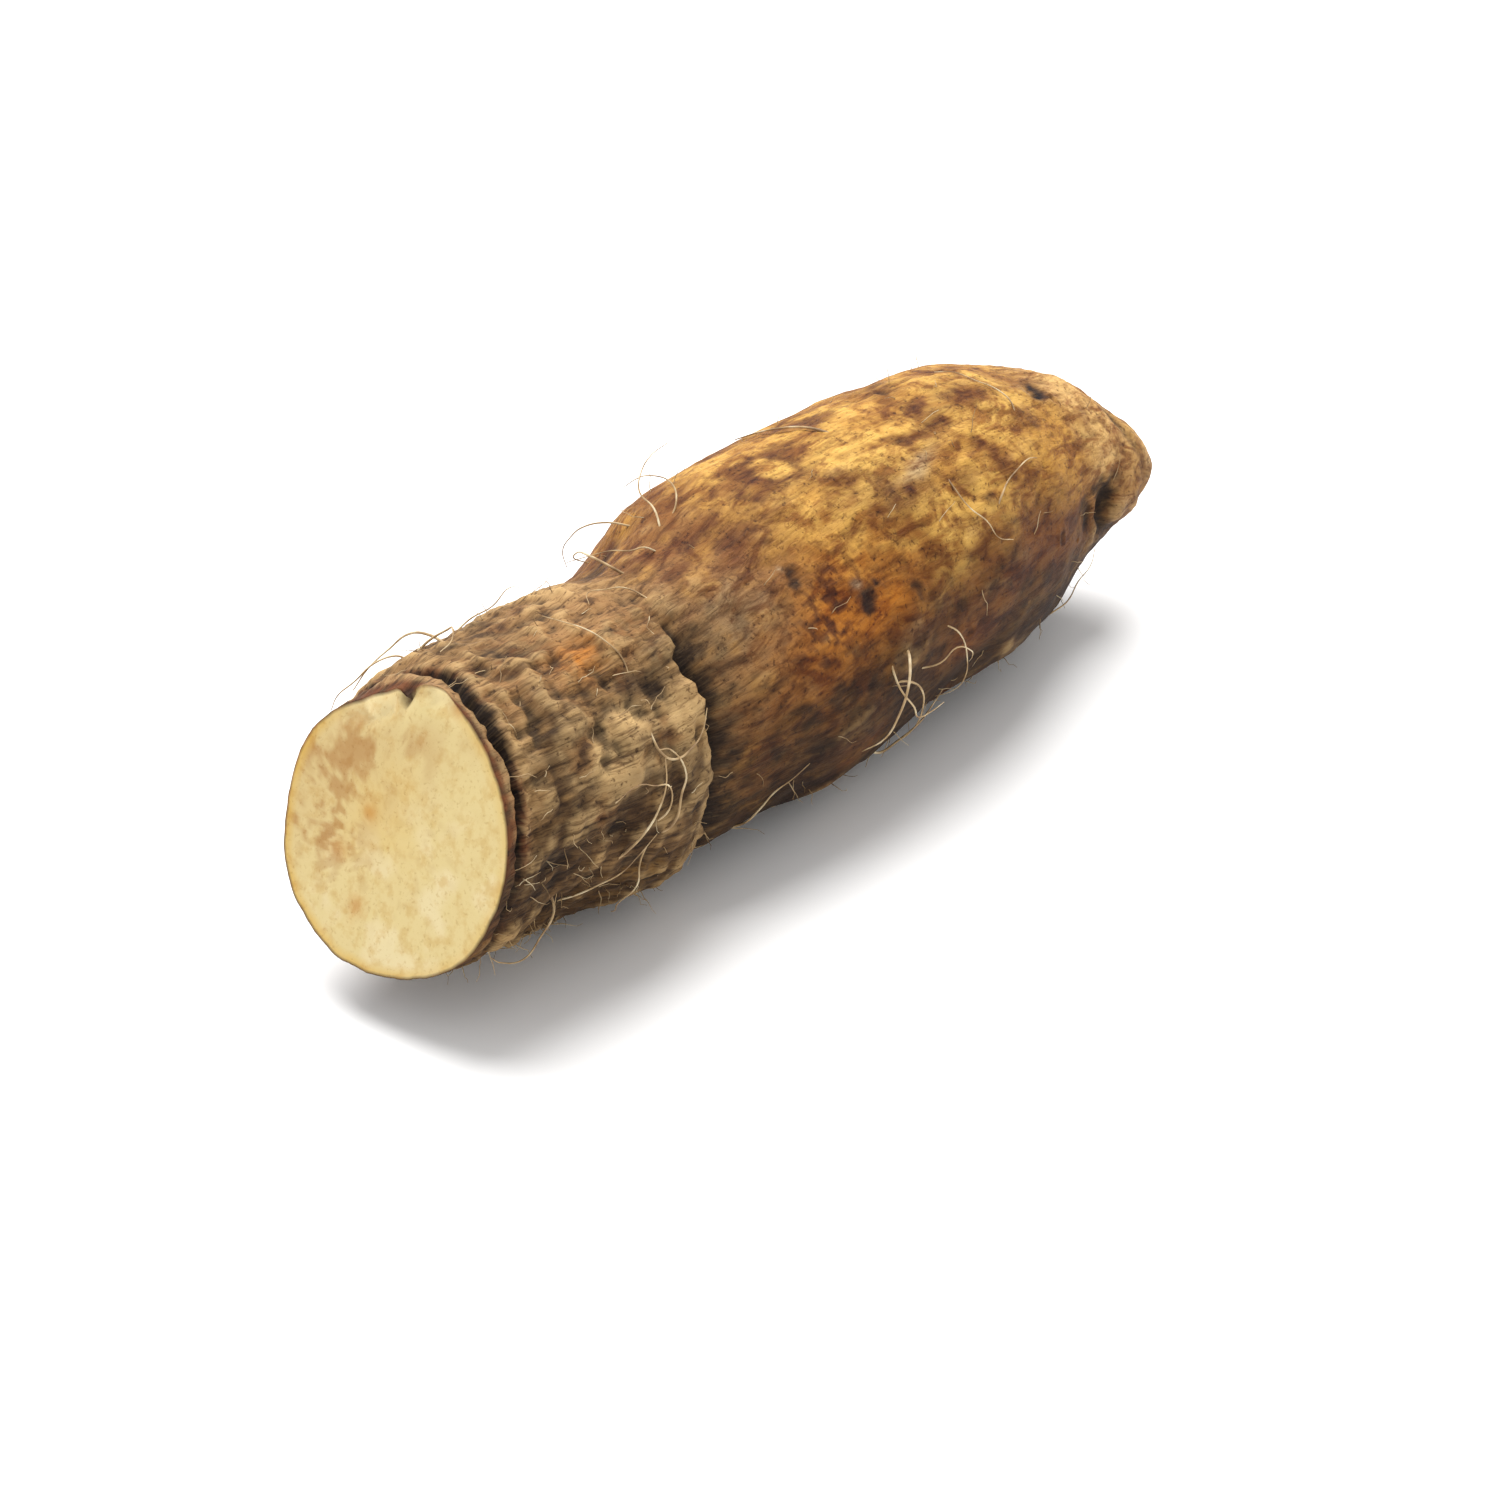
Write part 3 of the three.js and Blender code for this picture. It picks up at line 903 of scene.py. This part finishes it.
# Rootlets grow in these places: how many, along from and to in mm, turn from and to in
# degrees, how high they rise from the skin in mm
rootletPlan = {
    "seed": 5, "stops": 6, "step": 6.0, "thinnest": 0.45, "thickest": 0.9,
    "skinRadius": 42,
    "places": [
        (5, 88, 118, -40, -5, 11), (6, 12, 60, 85, 130, 5), (5, 140, 182, 78, 104, 9),
        (4, 170, 235, 0, 75, 1.6), (4, 10, 45, -50, -20, 6), (3, 50, 95, 10, 60, 2.0),
        (9, 40, 260, 125, 290, 4),
    ],
}


def growRootlets():
    # each is (thickness in mm, [(along, turn, height above the skin in mm), ...])
    rng = np.random.default_rng(rootletPlan["seed"])
    grown = []
    for count, lowest, highest, leastTurn, mostTurn, tall in rootletPlan["places"]:
        for _ in range(count):
            place, angle = rng.uniform(lowest, highest), rng.uniform(leastTurn, mostTurn)
            heading = rng.uniform(-math.pi, math.pi)
            bend = rng.uniform(-0.6, 0.6)
            peak = tall * rng.uniform(0.5, 1.0)
            droop = rng.uniform(0.5, 0.95)  # how much of its rise it has lost at its end, if any
            stops = [(place, angle, -1.0)]
            for i in range(1, rootletPlan["stops"]):
                share = i / (rootletPlan["stops"] - 1)
                heading += bend + rng.uniform(-0.35, 0.35)
                place += rootletPlan["step"] * math.cos(heading)
                angle += math.degrees(rootletPlan["step"] * math.sin(heading) / rootletPlan["skinRadius"])
                stops.append((place, angle, peak * math.sin(math.pi * droop * share)))
            grown.append((rng.uniform(rootletPlan["thinnest"], rootletPlan["thickest"]), stops))
    return grown


def skinAt(place, angle, lift):
    i = np.interp(place, alongs, np.arange(len(alongs)))
    row = int(min(max(round(float(i)), 0), len(alongs) - 1))
    column = int(round((angle % 360) / 360 * len(turns))) % len(turns)
    return skin[row, column] + directions[row, column] * lift * mm


def placeRootlets():
    curve = bpy.data.curves.new("rootlets", "CURVE")
    curve.dimensions = "3D"
    curve.resolution_u = 5
    for thickness, stops in growRootlets():
        spline = curve.splines.new("BEZIER")
        spline.bezier_points.add(len(stops) - 1)
        for i, (point, stop) in enumerate(zip(spline.bezier_points, stops)):
            place = skinAt(*stop)
            place[2] = max(place[2], thickness * mm)
            point.co = place
            point.handle_left_type = point.handle_right_type = "AUTO"
            point.radius = thickness * (1 - 0.65 * i / (len(stops) - 1))
    piece = bpy.data.objects.new("rootlets", curve)
    bpy.context.scene.collection.objects.link(piece)
    return piece


rootletSizes = {"Half thickness": 0.55 * mm, "Wriggle": 1.1 * mm, "Wriggle length": 6 * mm}


def rootletTubes():
    tree, start, end = newTree("rootletTubes", rootletSizes)
    place = addNode(tree, "GeometryNodeInputPosition").outputs[0]
    perLength = addNode(tree, "ShaderNodeMath", {"operation": "DIVIDE"}, {
        0: 1.0, 1: start.outputs["Wriggle length"]}).outputs[0]
    swirl = addNode(tree, "ShaderNodeTexNoise", inputs={
        "Vector": place, "Scale": perLength, "Detail": 1.0}).outputs["Color"]
    centred = addNode(tree, "ShaderNodeVectorMath", {"operation": "SUBTRACT"}, {
        0: swirl, 1: (0.5, 0.5, 0.5)}).outputs[0]
    stretched = addNode(tree, "ShaderNodeMath", {"operation": "MULTIPLY"}, {
        0: start.outputs["Wriggle"], 1: fullSwing}).outputs[0]
    offset = addNode(tree, "ShaderNodeVectorMath", {"operation": "SCALE"}, {
        0: centred, "Scale": stretched}).outputs[0]
    bent = addNode(tree, "GeometryNodeSetPosition", inputs={
        "Geometry": start.outputs["Geometry"], "Offset": offset}).outputs[0]
    ring = addNode(tree, "GeometryNodeCurvePrimitiveCircle", inputs={
        "Resolution": 6, "Radius": start.outputs["Half thickness"]}).outputs[0]
    radius = addNode(tree, "GeometryNodeInputRadius").outputs[0]
    tube = addNode(tree, "GeometryNodeCurveToMesh", inputs={
        "Curve": bent, "Profile Curve": ring, "Scale": radius, "Fill Caps": True}).outputs[0]
    smooth = addNode(tree, "GeometryNodeSetShadeSmooth", inputs={0: tube}).outputs[0]
    real = addNode(tree, "GeometryNodeRealizeInstances", inputs={0: smooth}).outputs[0]
    named = addNode(tree, "GeometryNodeSetMaterial", inputs={
        "Geometry": real, "Material": rootMaterial}).outputs[0]
    tree.links.new(named, end.inputs[0])
    return tree


def makeRootlets():
    guide = placeRootlets()
    mesh = applyTree(guide, rootletTubes(), rootletSizes, "rootlets")
    bpy.data.objects.remove(guide)
    piece = bpy.data.objects.new("rootlets", mesh)
    bpy.context.scene.collection.objects.link(piece)
    return piece


rootletPiece = makeRootlets()
print("rootlets made:", len(rootletPiece.data.polygons), "faces")


fibreScatter = {
    "Density": 13000.0, "Longest": 8 * mm, "Shortest": 2 * mm, "Half thickness": 0.16 * mm,
    "Curl": 2.2 * mm, "Seed": 7,
}


def scatteredFibres():
    # short broken root ends: a bent tapering line on each point, leaning along the skin
    tree, start, end = newTree("scatteredFibres", fibreScatter)
    hairy = addNode(tree, "GeometryNodeInputNamedAttribute", {"data_type": "FLOAT"}, {
        "Name": "hairy"}).outputs["Attribute"]
    density = addNode(tree, "ShaderNodeMath", {"operation": "MULTIPLY"}, {
        0: hairy, 1: start.outputs["Density"]}).outputs[0]
    scatter = addNode(tree, "GeometryNodeDistributePointsOnFaces", inputs={
        "Mesh": start.outputs["Geometry"], "Density": density, "Seed": start.outputs["Seed"]})
    lean = addNode(tree, "FunctionNodeRandomValue", {"data_type": "FLOAT_VECTOR"}, {
        0: (-1.6, -1.0, -1.0), 1: (1.6, 1.0, 1.0), "Seed": 3}).outputs[0]
    heading = addNode(tree, "ShaderNodeVectorMath", {"operation": "ADD"}, {
        0: scatter.outputs["Normal"], 1: lean}).outputs[0]
    line = addNode(tree, "GeometryNodeCurvePrimitiveLine", inputs={
        "Start": (0, 0, -0.08), "End": (0, 0, 1)}).outputs[0]
    fine = addNode(tree, "GeometryNodeResampleCurve", inputs={
        "Curve": line, "Count": 6}).outputs[0]
    long = addNode(tree, "FunctionNodeRandomValue", {"data_type": "FLOAT"}, {
        2: start.outputs["Shortest"], 3: start.outputs["Longest"], "Seed": 5}).outputs[1]
    turned = addNode(tree, "FunctionNodeAlignRotationToVector", {"axis": "Z"}, {
        "Vector": heading}).outputs[0]
    copies = addNode(tree, "GeometryNodeInstanceOnPoints", inputs={
        "Points": scatter.outputs["Points"], "Instance": fine, "Rotation": turned,
        "Scale": long}).outputs[0]
    real = addNode(tree, "GeometryNodeRealizeInstances", inputs={0: copies}).outputs[0]
    share = addNode(tree, "GeometryNodeSplineParameter").outputs["Factor"]
    place = addNode(tree, "GeometryNodeInputPosition").outputs[0]
    swirl = addNode(tree, "ShaderNodeTexNoise", inputs={
        "Vector": place, "Scale": 1 / 0.004, "Detail": 1.0}).outputs["Color"]
    centred = addNode(tree, "ShaderNodeVectorMath", {"operation": "SUBTRACT"}, {
        0: swirl, 1: (0.5, 0.5, 0.5)}).outputs[0]
    bend = addNode(tree, "ShaderNodeMath", {"operation": "MULTIPLY"}, {
        0: share, 1: start.outputs["Curl"]}).outputs[0]
    bendMore = addNode(tree, "ShaderNodeMath", {"operation": "MULTIPLY"}, {
        0: bend, 1: fullSwing}).outputs[0]
    offset = addNode(tree, "ShaderNodeVectorMath", {"operation": "SCALE"}, {
        0: centred, "Scale": bendMore}).outputs[0]
    bent = addNode(tree, "GeometryNodeSetPosition", inputs={
        "Geometry": real, "Offset": offset}).outputs[0]
    taper = addNode(tree, "ShaderNodeMapRange", inputs={
        "Value": share, "To Min": 1.0, "To Max": 0.35}).outputs[0]
    ring = addNode(tree, "GeometryNodeCurvePrimitiveCircle", inputs={
        "Resolution": 3, "Radius": start.outputs["Half thickness"]}).outputs[0]
    tube = addNode(tree, "GeometryNodeCurveToMesh", inputs={
        "Curve": bent, "Profile Curve": ring, "Scale": taper, "Fill Caps": True}).outputs[0]
    named = addNode(tree, "GeometryNodeSetMaterial", inputs={
        "Geometry": tube, "Material": rootMaterial}).outputs[0]
    tree.links.new(named, end.inputs[0])
    return tree


def makeFibres():
    ground = bpy.data.objects.new("fibreGround", yamBody.data.copy())
    bpy.context.scene.collection.objects.link(ground)
    mesh = applyTree(ground, scatteredFibres(), fibreScatter, "rootFibres")
    bpy.data.objects.remove(ground)
    places = np.zeros(len(mesh.vertices) * 3)
    mesh.vertices.foreach_get("co", places)
    places = places.reshape(-1, 3)
    places[:, 2] = np.maximum(places[:, 2], 0.1 * mm)
    mesh.vertices.foreach_set("co", places.ravel())
    piece = bpy.data.objects.new("rootFibres", mesh)
    bpy.context.scene.collection.objects.link(piece)
    return piece


fibrePiece = makeFibres()
print("fibres made:", len(fibrePiece.data.polygons), "faces")

for piece, slotName in ((yamBody, "skin"), (rootletPiece, "root"), (fibrePiece, "root")):
    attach(piece, "root")
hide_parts("yam")
